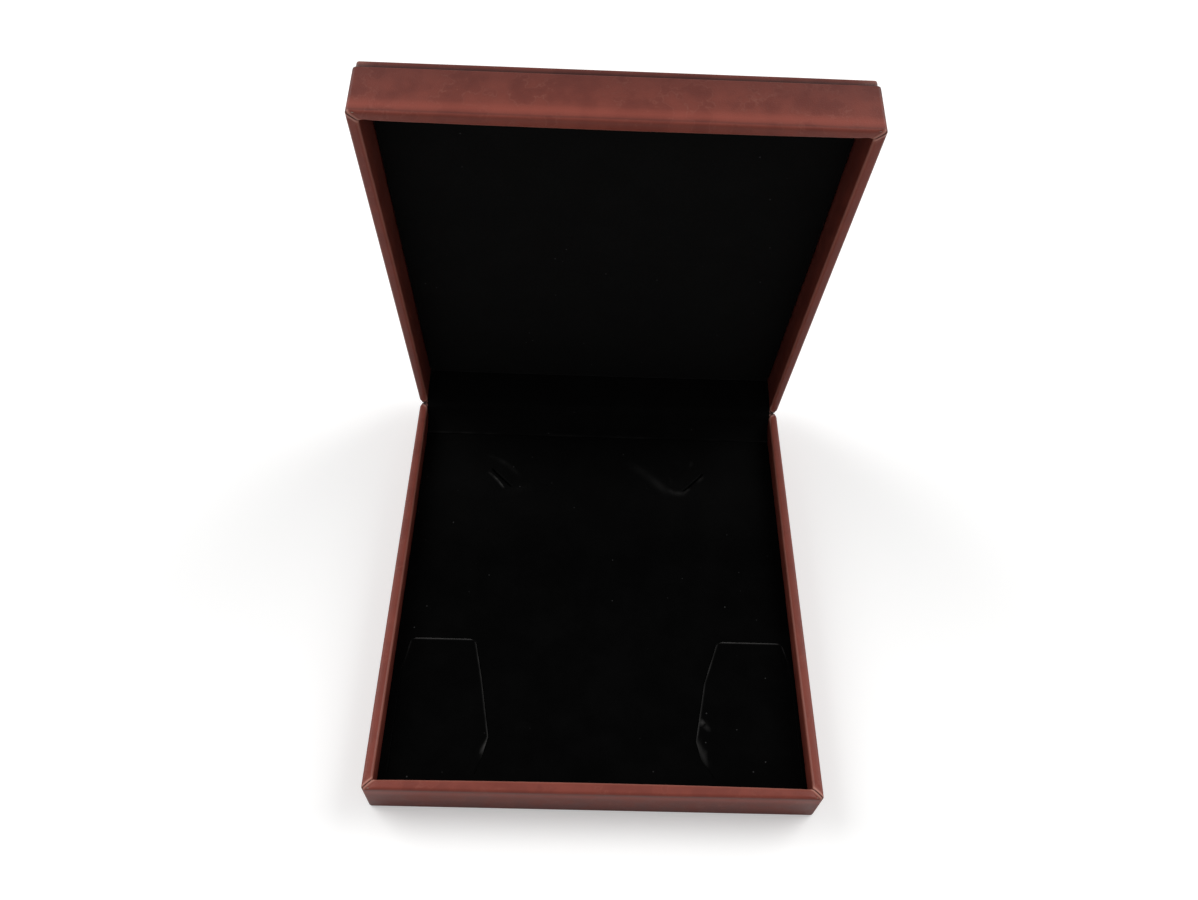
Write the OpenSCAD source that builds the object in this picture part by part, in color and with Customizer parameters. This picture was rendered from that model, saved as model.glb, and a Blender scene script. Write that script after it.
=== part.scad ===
// Presentation box for a necklace and a pair of earrings, standing open.
// Two shallow board frames are wrapped in leatherette and joined along the back by two small metal hinges.
// A velvet pad fills the base, with two slits for the chain and two lifting tabs for the earrings.
// A padded velvet panel lines the lid, and one velvet strip covers the hinge side.
// Origin: centre of the underside. +Z up, front towards -Y, hinge side towards +Y.

/* [Box] */
// Width across the box
box_w = 185; // [150:1:240]
// Depth from the front to the back
box_d = 200; // [160:1:260]
// Height of the base frame, from the table to its rim
base_h = 22; // [20:1:34]
// Height of the lid frame, from its rim to its flat top
lid_h = 22; // [20:1:34]
// Angle that the lid stands open, from closed
lid_open = 80; // [60:1:88]
// Gap between the two rims when the lid is closed
rim_gap = 0.3; // [0.2:0.1:0.8]

/* [Frame walls] */
// Thickness of the board that the walls are made of
wall_t = 3; // [2.6:0.1:5]
// Thickness of the leatherette
wrap_t = 0.5; // [0.3:0.1:0.6]
// Rounding of the rim's edges
rim_r = 1.2; // [0.7:0.1:1.5]
// Rounding of the front corners, seen from above
front_corner_r = 1.4; // [1:0.1:1.6]
// Rounding of the back corners, seen from above
back_corner_r = 4.2; // [1.6:0.1:4.4]
// Depth that the leatherette is turned in over the rim
turn_in = 19; // [10:0.5:19]
// Width of leatherette that is folded flat under a frame
lip_w = 9; // [6:0.5:14]

/* [Bottom and cover] */
// Thickness of the bottom board
bottom_t = 2; // [1:0.1:3]
// Gap between the sole and the folded leatherette round it
sole_gap = 0.4; // [0.2:0.1:1]
// Thickness of the board in the lid's cover
cover_t = 2.4; // [0.8:0.1:3]
// How far the cover stands in from the lid frame's sides
cover_inset = 0.8; // [0.5:0.1:4]
// Rounding of the cover's corners, seen from above
cover_corner_r = 1.2; // [0.8:0.1:3]

/* [Velvet pads] */
// Thickness of the velvet with its backing
velvet_t = 0.8; // [0.4:0.1:1.2]
// Clearance between a pad and the walls round it
pad_gap = 0.3; // [0.2:0.05:0.6]
// Depth of the base pad below the base rim
pad_depth = 9.4; // [8:0.1:11]
// Thickness of the card in the base pad
pad_card_t = 1.5; // [1:0.1:2.5]
// Distance from the back wall to the base pad's back edge
pad_back_margin = 9.8; // [7:0.1:14]
// Depth of the lid pad below the lid rim
lid_pad_depth = 15.6; // [12:0.1:16]
// Thickness of the card in the lid pad
lid_card_t = 1.5; // [1:0.1:2]
// Rounding of the lid pad's edge
lid_pad_r = 2.2; // [1.4:0.1:3]
// Height of the lid pad's middle over its edge
lid_pad_crown = 0.8; // [0.3:0.1:1.2]
// Gap between the lid pad and the velvet strip behind it
lid_pad_back_gap = 0.4; // [0.3:0.1:1.5]
// Thickness of the velvet strip over the hinge side
strip_t = 1; // [0.6:0.1:1.2]
// Thickness of the card risers under the base pad
riser_t = 2; // [1:0.1:3]

/* [Chain slits] */
// Length of a chain slit
slit_len = 15; // [8:0.5:24]
// Width of a chain slit
slit_w = 1.6; // [1:0.1:3]
// Distance between the middles of the two slits
slit_spread = 96; // [60:1:120]
// Distance from the pad's back edge to the middle of a slit
slit_from_back = 27; // [16:0.5:50]
// Angle between a slit and the front edge
slit_angle = 45; // [20:1:60]

/* [Earring tabs] */
// Length of the left tab from its fold to its free edge
left_tab_len = 60.3; // [50:0.1:70]
// Length of the right tab from its fold to its free edge
right_tab_len = 61.8; // [50:0.1:70]
// Greatest width of the left tab
left_tab_w = 40; // [36:0.1:48]
// Greatest width of the right tab
right_tab_w = 43.2; // [36:0.1:48]
// Width of the left tab's free edge
left_tab_rear_w = 28.7; // [20:0.1:30]
// Width of the right tab's free edge
right_tab_rear_w = 29.2; // [20:0.1:30]
// Width of pad that stays beside the left tab, along the side wall
left_tab_margin = 3.7; // [1.5:0.1:8]
// Width of pad that stays beside the right tab, along the side wall
right_tab_margin = 1.8; // [1.5:0.1:8]
// Width of pad that stays in front of a tab's fold
tab_front_margin = 5.7; // [3:0.1:12]
// Rounding of the corners of a tab's free edge
tab_corner_r = 3; // [1:0.1:4]
// Cut round a tab
tab_gap = 0.3; // [0.2:0.05:0.6]

/* [Hinges] */
// Distance between the middles of the two hinges
hinge_spread = 96; // [60:1:110]
// Width of a hinge
hinge_w = 16; // [12:0.5:24]
// Distance from the back face to the hinge's axis
hinge_inset = 1.9; // [1.8:0.05:2]
// Radius of a hinge knuckle
knuckle_r = 1.5; // [1.3:0.05:1.6]
// Radius of a hinge pin
pin_r = 0.7; // [0.5:0.05:0.8]
// Thickness of a hinge leaf
leaf_t = 0.8; // [0.5:0.05:0.9]
// Height of a hinge leaf, from its axis
leaf_h = 12; // [9:0.5:14]
// Thickness of the spring tongue that grips the lid's knuckle
spring_t = 0.4; // [0.2:0.05:0.5]
// Radius of a hinge tack
tack_r = 0.5; // [0.3:0.05:0.8]
// Length of a hinge tack
tack_len = 2.6; // [1.5:0.1:3]

/* [Hidden] */
$fn = 48;

// Sides of a frame, counted round from the front
FRONT = 0;
RIGHT = 1;
BACK = 2;
LEFT = 3;
quarter = 90;
over = 1; // how far a cutting shape runs past what it cuts

// The frame's layers, measured in from its outer face
board_in = wrap_t + wall_t;
rim_w = board_in + wrap_t;
cavity_x = box_w / 2 - rim_w;
cavity_y = box_d / 2 - rim_w;
mitre_reach = lip_w + over;

// Hinge axis
hinge_y = box_d / 2 - hinge_inset;
hinge_z = base_h + rim_gap / 2;
axis_over_rim = rim_gap / 2;
back_bevel = hinge_inset; // lets the two rims roll on each other as far as a right angle

// Base pad: its levels and its edges
floor_z = wrap_t + bottom_t;
pad_top = base_h - pad_depth;
pad_card_top = pad_top - velvet_t;
pad_bottom = pad_card_top - pad_card_t;
pad_x = cavity_x - pad_gap;
pad_front = -cavity_y + pad_gap;
pad_back = cavity_y - pad_back_margin;
riser_gap = 0.1;

// Earring tabs: the fold line and the outer edge
fold_y = pad_front + tab_front_margin;
tab_rear_taper = 2.3;
tab_belly_y = 16;
tab_belly_start = 8;
tab_belly_in = 1.8;
tab_waist_y = 41.7;
tab_waist_in = 4.8;
left_tab_fold_in = 4.6;
right_tab_fold_in = 7.2;
left_tab_shoulder = 15;
right_tab_shoulder = 10;
tab_corner_steps = 6;
function on_side(side, left, right) = side > 0 ? right : left;

// Velvet strip along the hinge side
cove_x = cavity_x - pad_gap;
cove_y = pad_back + pad_gap;
cove_r = cavity_y - strip_t - cove_y;
strip_end_gap = 0.3;
cove_top = base_h - strip_end_gap;

// Lid pad
lid_pad_bottom = wrap_t;
lid_pad_top = lid_h - lid_pad_depth;
lid_pad_x = cavity_x - pad_gap;
lid_pad_front = -cavity_y + pad_gap;
lid_pad_back = cavity_y - strip_t - lid_pad_back_gap;
crown_steps = 10;

// Hinge hardware
pin_clear = 0.05;
pin_head_r = 1;
pin_head_t = 0.4;
knuckle_gap = 0.2;
knuckle_room = 0.4;
leaf_room = 0.15;
lid_knuckle_w = hinge_w / 3;
leaf_top_drop = 0.7;
leaf_clear_r = knuckle_r + leaf_top_drop;
knuckle_foot = 0.5; // how far a knuckle's foot runs down into its leaf
web_clear = 0.05; // between the velvet web and the leaves' top corners
spring_w = lid_knuckle_w - 2 * knuckle_gap;
spring_room = 0.1;
spring_h = 6;
spring_drop = knuckle_r + knuckle_gap;
tack_clear = 0.02;
tack_up = 7.5;
tack_margin = 3;
tack_spread = hinge_w - 2 * tack_margin;

// Moves what is drawn in the lid's own terms, rim up, to the open lid.
module in_lid() {
  translate([0, hinge_y, hinge_z])
    rotate([-lid_open, 0, 0])
      translate([0, -hinge_y, base_h + rim_gap + lid_h - hinge_z])
        mirror([0, 0, 1])
          children();
}

// The outside of a rounded corner whose tip is at the origin and whose metal lies towards +X and -Y.
module corner_waste(r) {
  difference() {
    translate([-over, -r])
      square([r + over, r + over]);
    translate([r, -r])
      circle(r);
  }
}

// The outside of a bevelled corner whose tip is at the origin and whose metal lies towards +X and -Y.
module bevel_waste(size) {
  polygon([[-over, -size - over], [size + over, over], [-over, over]]);
}

// Plan of a frame drawn in by a distance all round.
module plan(inset) {
  x = box_w / 2 - inset;
  y = box_d / 2 - inset;
  back_r = max(back_corner_r - inset, 0);
  front_r = max(front_corner_r - inset, 0);
  difference() {
    translate([-x, -y])
      square([2 * x, 2 * y]);
    for (side = [0, 1])
      mirror([side, 0]) {
        if (back_r > 0)
          translate([-x, y])
            corner_waste(back_r);
        if (front_r > 0)
          translate([-x, -y])
            mirror([0, 1])
              corner_waste(front_r);
      }
  }
}

// Length of a side, and how far it stands from the middle.
function side_run(side) = side % 2 == 0 ? box_w : box_d;
function side_reach(side) = side % 2 == 0 ? box_d / 2 : box_w / 2;

// Runs a section along one side: X of the section is measured in from the outer face, and Y is height.
module along(side, more = 0) {
  run = side_run(side) + 2 * more;
  rotate([0, 0, side * quarter])
    translate([-run / 2, -side_reach(side), 0])
      rotate([quarter, 0, quarter])
        linear_extrude(run)
          children();
}

// The wedge of space that belongs to one side between its two mitres.
module mitre(side, h) {
  half = side_run(side) / 2;
  reach = side_reach(side);
  rotate([0, 0, side * quarter])
    translate([0, 0, -over])
      linear_extrude(h + 2 * over)
        polygon([
          [-half - over, -reach - over],
          [half + over, -reach - over],
          [half - mitre_reach, -reach + mitre_reach],
          [-half + mitre_reach, -reach + mitre_reach]
        ]);
}

// Rounds a rim's inner edges and its outer edges, and bevels the outer one along the hinge side.
module rim_waste(h) {
  for (side = [FRONT, RIGHT, BACK, LEFT]) {
    along(side, over)
      translate([0, h])
        if (side == BACK)
          bevel_waste(back_bevel);
        else
          corner_waste(rim_r);
    along(side, over)
      translate([rim_w, h])
        mirror([1, 0])
          corner_waste(rim_r);
  }
}

// Space inside a frame, for a wall of a given thickness.
module cavity(inset, low, high) {
  x = box_w / 2 - inset;
  y = box_d / 2 - inset;
  translate([-x, -y, low])
    cube([2 * x, 2 * y, high - low]);
}

// Room for both hinges in the back wall of a frame of height h.
module hinge_room(h) {
  for (side = [-1, 1])
    translate([side * hinge_spread / 2, hinge_y, h + axis_over_rim]) {
      x_axis_rod(knuckle_r + knuckle_room, hinge_w + 2 * knuckle_room);
      translate([-hinge_w / 2 - leaf_room, hinge_inset - rim_w - over, -leaf_h - leaf_room])
        cube([hinge_w + 2 * leaf_room, leaf_t + leaf_room + over, leaf_h + 2 * over]);
      translate([-spring_w / 2 - spring_room, hinge_inset - rim_w, 0]) {
        translate([0, 0, -spring_drop - spring_h - spring_room])
          cube([spring_w + 2 * spring_room, leaf_t + spring_t + spring_room, spring_h + spring_drop]);
        translate([0, 0, -spring_drop - spring_t - spring_room])
          cube([spring_w + 2 * spring_room, rim_w - hinge_inset + pin_r + spring_room, spring_drop]);
      }
      tack_rods(tack_r + tack_clear);
    }
}

// A round bar along X, centred.
module x_axis_rod(r, length) {
  rotate([0, quarter, 0])
    cylinder(r = r, h = length, center = true);
}

// The two tacks of one leaf, at the hinge's own axis.
module tack_rods(r) {
  for (side = [-1, 1])
    translate([side * tack_spread / 2, hinge_inset - rim_w, -tack_up])
      rotate([-quarter, 0, 0])
        cylinder(r = r, h = tack_len);
}

// The four boards of a frame as one ring, wrapped rim and underside left out.
module board_ring(h) {
  difference() {
    translate([0, 0, wrap_t])
      linear_extrude(h - 2 * wrap_t)
        plan(wrap_t);
    cavity(board_in, -over, h + over);
    along(BACK, over)
      translate([wrap_t, h - wrap_t])
        bevel_waste(back_bevel - (2 - sqrt(2)) * wrap_t);
  }
}

// One board. Front and back boards run the full width, and the side boards stand between them.
module frame_wall(side, h) {
  inner_x = box_w / 2 - board_in;
  inner_y = box_d / 2 - board_in;
  difference() {
    intersection() {
      board_ring(h);
      if (side % 2 == 0)
        translate([-box_w / 2, side == BACK ? inner_y : -inner_y - board_in, 0])
          cube([box_w, board_in, h]);
      else
        translate([side == RIGHT ? inner_x : -inner_x - board_in, -inner_y, 0])
          cube([board_in, 2 * inner_y, h]);
    }
    if (side == BACK)
      hinge_room(h);
  }
}

// The leatherette of one side: down the outside, under the frame, over the rim and down inside.
module frame_wrap(side, h) {
  difference() {
    intersection() {
      linear_extrude(h)
        plan(0);
      mitre(side, h);
    }
    board_ring(h);
    cavity(rim_w, wrap_t, h + over);
    cavity(board_in, wrap_t, h - turn_in);
    cavity(lip_w, -over, wrap_t + over);
    rim_waste(h);
    if (side == BACK)
      hinge_room(h);
  }
}

module leatherette() {
  color([0.46, 0.25, 0.22])
    children();
}

module greyboard() {
  color([0.62, 0.58, 0.52])
    children();
}

module velvet() {
  color([0.03, 0.03, 0.035])
    children();
}

module steel() {
  color([0.75, 0.72, 0.6])
    children();
}

// Underside and bottom of the base

module base_sole() {
  velvet()
    cavity(lip_w + sole_gap, 0, wrap_t);
}

module base_bottom_board() {
  greyboard()
    cavity(board_in, wrap_t, floor_z);
}

// Card risers that carry the base pad

module front_riser() {
  half = cavity_x - riser_gap;
  greyboard()
    translate([-half, -cavity_y + riser_gap, floor_z])
      cube([2 * half, riser_t, pad_bottom - floor_z]);
}

module side_riser(side) {
  front = -cavity_y + 2 * riser_gap + riser_t;
  back = pad_back - riser_t - 2 * riser_gap;
  x = side * (cavity_x - riser_gap - riser_t / 2);
  greyboard()
    translate([x - riser_t / 2, front, floor_z])
      cube([riser_t, back - front, pad_bottom - floor_z]);
}

module back_riser() {
  greyboard()
    translate([-cove_x, pad_back - riser_gap - riser_t, floor_z])
      cube([2 * cove_x, riser_t, pad_bottom - floor_z]);
}

// Outline of an earring tab, grown by a distance on its cut edges. The two were cut by hand and differ a little.
// X is measured inwards from its outer edge, and Y back from its fold.
function tab_points(side, grow) =
  let (
    length = on_side(side, left_tab_len, right_tab_len),
    width = on_side(side, left_tab_w, right_tab_w),
    rear_w = on_side(side, left_tab_rear_w, right_tab_rear_w),
    shoulder = on_side(side, left_tab_shoulder, right_tab_shoulder),
    fold_in = on_side(side, left_tab_fold_in, right_tab_fold_in)
  )
  [
    [-grow, 0],
    [-grow, length - shoulder],
    [tab_rear_taper - grow, length + grow],
    [tab_rear_taper + rear_w + grow, length + grow],
    [width - tab_waist_in + grow, tab_waist_y],
    [width + grow, tab_belly_y],
    [width - tab_belly_in + grow, tab_belly_start],
    [width - fold_in + grow, 0]
  ];

// Rounds one corner of an outline: the arc's points between its two neighbours.
function round_corner(before, at, after, r) =
  let (
    to_before = (before - at) / norm(before - at),
    to_after = (after - at) / norm(after - at),
    half_angle = acos(to_before * to_after) / 2,
    middle = (to_before + to_after) / norm(to_before + to_after),
    centre = at + middle * r / sin(half_angle),
    start = at + to_before * r / tan(half_angle) - centre,
    end = at + to_after * r / tan(half_angle) - centre,
    sweep = acos(start * end / (r * r))
  )
  [for (i = [0:tab_corner_steps])
    let (share = i / tab_corner_steps)
    centre + (start * sin((1 - share) * sweep) + end * sin(share * sweep)) / sin(sweep)];

module tab_outline(side, grow) {
  p = tab_points(side, grow);
  r = tab_corner_r;
  polygon([
    p[0], p[1],
    each round_corner(p[1], p[2], p[3], r),
    each round_corner(p[2], p[3], p[4], r),
    p[4], p[5], p[6], p[7]
  ]);
}

// Places a tab's outline: side is 1 for the right-hand tab and -1 for the left-hand one.
module at_tab(side) {
  mirror([side > 0 ? 0 : 1, 0, 0])
    translate([pad_x - on_side(side, left_tab_margin, right_tab_margin), fold_y, 0])
      mirror([1, 0, 0])
        children();
}

module pad_layer(low, high) {
  difference() {
    translate([-pad_x, pad_front, low])
      cube([2 * pad_x, pad_back - pad_front, high - low]);
    for (side = [-1, 1]) {
      at_tab(side)
        translate([0, 0, low - over])
          linear_extrude(high - low + 2 * over)
            tab_outline(side, tab_gap);
      translate([side * slit_spread / 2, pad_back - slit_from_back, low - over])
        rotate([0, 0, side * slit_angle])
          linear_extrude(high - low + 2 * over)
            slit_outline();
    }
  }
}

module slit_outline() {
  straight = slit_len - slit_w;
  square([straight, slit_w], center = true);
  for (end = [-1, 1])
    translate([end * straight / 2, 0])
      circle(d = slit_w);
}

module tab_layer(side, low, high) {
  at_tab(side)
    translate([0, 0, low])
      linear_extrude(high - low)
        difference() {
          tab_outline(side, 0);
          translate([-over, -over])
            square([on_side(side, left_tab_w, right_tab_w) + 2 * over, tab_gap + over]);
        }
}

module pad_card() {
  greyboard()
    pad_layer(pad_bottom, pad_card_top);
}

module pad_velvet() {
  velvet()
    pad_layer(pad_card_top, pad_top);
}

module tab_card(side) {
  greyboard()
    tab_layer(side, pad_bottom, pad_card_top);
}

module tab_velvet(side) {
  velvet()
    tab_layer(side, pad_card_top, pad_top);
}

// Velvet strip along the hinge side: a leg behind the pad, a hollow curve, and a free web to the lid

module across_box(half) {
  translate([-half, 0, 0])
    rotate([quarter, 0, quarter])
      linear_extrude(2 * half)
        children();
}

module base_hinge_lining() {
  velvet()
    across_box(cove_x) {
      intersection() {
        difference() {
          translate([cove_y, cove_top])
            circle(cove_r + strip_t);
          translate([cove_y, cove_top])
            circle(cove_r);
        }
        translate([cove_y, cove_top - cove_r - strip_t])
          square(cove_r + strip_t);
      }
      translate([cove_y, floor_z])
        square([strip_t, cove_top - cove_r - floor_z]);
    }
}

module lid_hinge_lining() {
  velvet()
    in_lid()
      across_box(cove_x)
        translate([cavity_y - strip_t, lid_pad_bottom])
          square([strip_t, lid_h - strip_end_gap - lid_pad_bottom]);
}

// A point of the lid's back side, given by its place in the closed lid, at the open angle.
function opened(y, over_rim) =
  let (
    dy = y - hinge_y,
    dz = over_rim + axis_over_rim
  )
  [
    hinge_y + dy * cos(lid_open) + dz * sin(lid_open),
    hinge_z - dy * sin(lid_open) + dz * cos(lid_open)
  ];

// The web runs straight up past the leaves' top corners on either side and bends there.
module hinge_web() {
  bend_y = cavity_y - web_clear;
  outer_rise = web_clear + strip_t * tan(lid_open / 4);
  velvet()
    across_box(cove_x)
      polygon([
        [cavity_y, cove_top],
        [cavity_y - strip_t, cove_top],
        [bend_y - strip_t, hinge_z + outer_rise],
        opened(bend_y - strip_t, -axis_over_rim - outer_rise),
        opened(cavity_y - strip_t, strip_end_gap),
        opened(cavity_y, strip_end_gap),
        opened(bend_y, -axis_over_rim - web_clear),
        [bend_y, hinge_z + web_clear]
      ]);
}

// Hinges: all drawn with the hinge's middle at the origin of X, in the terms of a frame of height h

module knuckle(centre_x, width, h) {
  translate([centre_x, hinge_y, h + axis_over_rim])
    x_axis_rod(knuckle_r, width);
  translate([centre_x - width / 2, cavity_y, h + axis_over_rim - leaf_clear_r - knuckle_foot])
    cube([width, leaf_t, leaf_clear_r + knuckle_foot]);
}

module leaf(h, knuckles, width) {
  steel()
    difference() {
      union() {
        translate([-hinge_w / 2, cavity_y, h + axis_over_rim - leaf_h])
          cube([hinge_w, leaf_t, leaf_h - leaf_clear_r]);
        for (x = knuckles)
          knuckle(x, width, h);
      }
      translate([0, hinge_y, h + axis_over_rim]) {
        x_axis_rod(pin_r + pin_clear, hinge_w + 2 * over);
        tack_rods(tack_r + tack_clear);
      }
    }
}

module base_leaf(side) {
  width = (hinge_w - lid_knuckle_w) / 2 - knuckle_gap;
  x = (hinge_w - width) / 2;
  translate([side * hinge_spread / 2, 0, 0])
    leaf(base_h, [-x, x], width);
}

module lid_leaf(side) {
  in_lid()
    translate([side * hinge_spread / 2, 0, 0])
      leaf(lid_h, [0], lid_knuckle_w - knuckle_gap);
}

module hinge_pin(side) {
  steel()
    translate([side * hinge_spread / 2, hinge_y, hinge_z]) {
      x_axis_rod(pin_r, hinge_w);
      for (end = [-1, 1])
        translate([end * (hinge_w + pin_head_t) / 2, 0, 0])
          x_axis_rod(pin_head_r, pin_head_t);
    }
}

// A bent tongue behind the base leaf, whose top bears on the underside of the lid's knuckle.
module hinge_spring(side) {
  tip_y = hinge_y + pin_r;
  leg_y = cavity_y + leaf_t;
  tip_z = hinge_z - spring_drop;
  steel()
    translate([side * hinge_spread / 2 - spring_w / 2, 0, 0]) {
      translate([0, leg_y, tip_z - spring_h])
        cube([spring_w, spring_t, spring_h]);
      translate([0, leg_y, tip_z - spring_t])
        cube([spring_w, tip_y - leg_y, spring_t]);
    }
}

module hinge_tacks(h) {
  steel()
    for (side = [-1, 1])
      translate([side * hinge_spread / 2, hinge_y, h + axis_over_rim])
        tack_rods(tack_r);
}

// Cover of the lid: a board wrapped in leatherette, glued on the frame's flat top

module cover_plan(inset) {
  x = box_w / 2 - cover_inset - inset;
  y = box_d / 2 - cover_inset - inset;
  r = cover_corner_r - inset;
  difference() {
    translate([-x, -y])
      square([2 * x, 2 * y]);
    for (flip_x = [0, 1], flip_y = [0, 1])
      mirror([flip_x, 0])
        mirror([0, flip_y])
          translate([-x, y])
            corner_waste(r);
  }
}

module lid_cover_board() {
  greyboard()
    in_lid()
      translate([0, 0, -wrap_t - cover_t])
        linear_extrude(cover_t)
          cover_plan(wrap_t);
}

module lid_cover_wrap() {
  leatherette()
    in_lid()
      difference() {
        translate([0, 0, -cover_t - 2 * wrap_t])
          linear_extrude(cover_t + 2 * wrap_t)
            cover_plan(0);
        translate([0, 0, -wrap_t - cover_t])
          linear_extrude(cover_t)
            cover_plan(wrap_t);
        cavity(cover_inset + lip_w, -2 * wrap_t, over);
      }
}

// Lid pad: a velvet skin over foam on a card

// A crowned section: half is half its width, and the top falls by the crown from the middle to the edge.
module crowned_section(half, top) {
  points = [for (i = [-crown_steps:crown_steps])
    let (share = i / crown_steps)
    [half * share, top - lid_pad_crown * share * share]];
  difference() {
    polygon([[-half, lid_pad_bottom], each points, [half, lid_pad_bottom]]);
    for (flip = [0, 1])
      mirror([flip, 0])
        translate([-half, top - lid_pad_crown])
          children();
  }
}

module lid_pad_body(inset) {
  half_x = lid_pad_x - inset;
  half_y = (lid_pad_back - lid_pad_front) / 2 - inset;
  top = lid_pad_top - inset;
  middle_y = (lid_pad_back + lid_pad_front) / 2;
  translate([0, middle_y, 0])
    intersection() {
      translate([0, half_y, 0])
        rotate([quarter, 0, 0])
          linear_extrude(2 * half_y)
            crowned_section(half_x, top)
              corner_waste(lid_pad_r - inset);
      across_box(half_x)
        crowned_section(half_y, top)
          corner_waste(lid_pad_r - inset);
    }
}

module lid_pad_slice(low, high) {
  intersection() {
    lid_pad_body(velvet_t);
    cavity(rim_w, low, high);
  }
}

module lid_pad_velvet() {
  velvet()
    in_lid()
      difference() {
        lid_pad_body(0);
        lid_pad_body(velvet_t);
      }
}

module lid_pad_foam() {
  color([0.25, 0.25, 0.27])
    in_lid()
      lid_pad_slice(lid_pad_bottom + lid_card_t, lid_h);
}

module lid_pad_card() {
  greyboard()
    in_lid()
      lid_pad_slice(0, lid_pad_bottom + lid_card_t);
}

// The wrapped frames of the base and the lid

module base_wall(side) {
  greyboard()
    frame_wall(side, base_h);
}

module base_wrap(side) {
  leatherette()
    frame_wrap(side, base_h);
}

// The lid is drawn upside down, so its left and right sides keep their places.
module lid_wall(side) {
  greyboard()
    in_lid()
      frame_wall(side, lid_h);
}

module lid_wrap(side) {
  leatherette()
    in_lid()
      frame_wrap(side, lid_h);
}

base_sole();
base_bottom_board();
base_wall(FRONT);  // base_front_wall
base_wall(RIGHT);  // base_right_wall
base_wall(BACK);  // base_back_wall
base_wall(LEFT);  // base_left_wall
base_wrap(FRONT);  // base_front_wrap
base_wrap(RIGHT);  // base_right_wrap
base_wrap(BACK);  // base_back_wrap
base_wrap(LEFT);  // base_left_wrap
front_riser();
side_riser(1);  // right_riser
back_riser();
side_riser(-1);  // left_riser
pad_card();
pad_velvet();
base_hinge_lining();
hinge_web();
tab_card(-1);  // left_tab_card
tab_velvet(-1);  // left_tab_velvet
tab_card(1);  // right_tab_card
tab_velvet(1);  // right_tab_velvet
base_leaf(-1);  // left_base_leaf
base_leaf(1);  // right_base_leaf
lid_leaf(-1);  // left_lid_leaf
lid_leaf(1);  // right_lid_leaf
hinge_pin(-1);  // left_hinge_pin
hinge_pin(1);  // right_hinge_pin
hinge_spring(-1);  // left_hinge_spring
hinge_spring(1);  // right_hinge_spring
hinge_tacks(base_h);  // base_hinge_tacks
in_lid() hinge_tacks(lid_h);  // lid_hinge_tacks
lid_wall(FRONT);  // lid_front_wall
lid_wall(RIGHT);  // lid_right_wall
lid_wall(BACK);  // lid_back_wall
lid_wall(LEFT);  // lid_left_wall
lid_wrap(FRONT);  // lid_front_wrap
lid_wrap(RIGHT);  // lid_right_wrap
lid_wrap(BACK);  // lid_back_wrap
lid_wrap(LEFT);  // lid_left_wrap
lid_cover_board();
lid_cover_wrap();
lid_pad_card();
lid_pad_foam();
lid_pad_velvet();
lid_hinge_lining();
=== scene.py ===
# %% [markdown]
# # A presentation box for a necklace and earrings
#
# The box stands open: two shallow frames wrapped in red-brown leatherette, a black velvet pad with two chain
# slits and two earring tabs, and a padded velvet panel in the lid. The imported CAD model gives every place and
# size. This script dresses it, one piece at a time, and each piece rides on the CAD body that carries it.

# %% Load the frame
import math
from contextlib import contextmanager
import bmesh
import bpy
import numpy as np
from mathutils import Matrix, Vector, noise


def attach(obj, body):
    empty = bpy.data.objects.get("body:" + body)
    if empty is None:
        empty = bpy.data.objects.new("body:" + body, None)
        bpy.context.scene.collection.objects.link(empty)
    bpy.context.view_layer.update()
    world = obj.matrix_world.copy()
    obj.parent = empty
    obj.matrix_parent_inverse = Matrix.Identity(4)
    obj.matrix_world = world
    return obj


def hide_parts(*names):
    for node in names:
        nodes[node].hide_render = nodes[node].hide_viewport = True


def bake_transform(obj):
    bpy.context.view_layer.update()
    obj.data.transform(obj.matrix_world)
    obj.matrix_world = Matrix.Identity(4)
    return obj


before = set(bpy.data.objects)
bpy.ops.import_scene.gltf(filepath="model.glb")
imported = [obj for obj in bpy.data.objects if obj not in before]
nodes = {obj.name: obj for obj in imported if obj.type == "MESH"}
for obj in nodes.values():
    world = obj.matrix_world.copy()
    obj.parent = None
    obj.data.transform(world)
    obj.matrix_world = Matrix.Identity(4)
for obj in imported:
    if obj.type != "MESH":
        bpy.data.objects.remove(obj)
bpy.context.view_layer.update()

# %% [markdown]
# ## Sizes
#
# Blender works in metres here, but the box is easier to think about in millimetres, as its maker would. These
# are the CAD model's own values, written again, because this script reads nothing from the part's source.

# %% Sizes in millimetres
MM = 0.001
NEAR = 0.01                     # two places less than this apart, in mm, are the same one
ALONG, ACROSS = 0.9, 0.1        # how much of a normal or an edge's run follows an axis, out of 1
box_w, box_d, frame_h = 185.0, 200.0, 22.0
wrap_t, rim_w, rim_r, back_bevel = 0.5, 4.0, 1.2, 1.9
front_corner_r, back_corner_r = 1.4, 4.2
turn_in, lip_w, foot_r = 19.0, 9.0, 0.9
cover_x, cover_y, cover_h = 91.7, 99.2, 3.4
hinge_y, hinge_z, lid_open, rim_gap = 98.1, 22.15, 80.0, 0.3
cavity_x = box_w / 2 - rim_w
print("cavity half width, mm:", cavity_x)

# %% [markdown]
# ## The camera
#
# The photograph was taken from above and in front with a phone-like lens. The camera below was fitted to the
# corners of both frames. The frame is taken as 1198 by 900 pixels.

# %% Camera
view = bpy.data.cameras.new("photo_camera")
view.sensor_width = 36
view.lens = 29.464
view.clip_start = 0.01
camera = bpy.data.objects.new("photo_camera", view)
camera.location = Vector((-10.17, -223.97, 416.41)) * MM
camera.rotation_euler = [math.radians(a) for a in (36.765, -1.983, 0.627)]
bpy.context.scene.collection.objects.link(camera)
bpy.context.scene.camera = camera
bpy.context.scene.view_settings.view_transform = "Standard"
print("camera height over the table, mm:", round(camera.location.z / MM))

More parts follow.
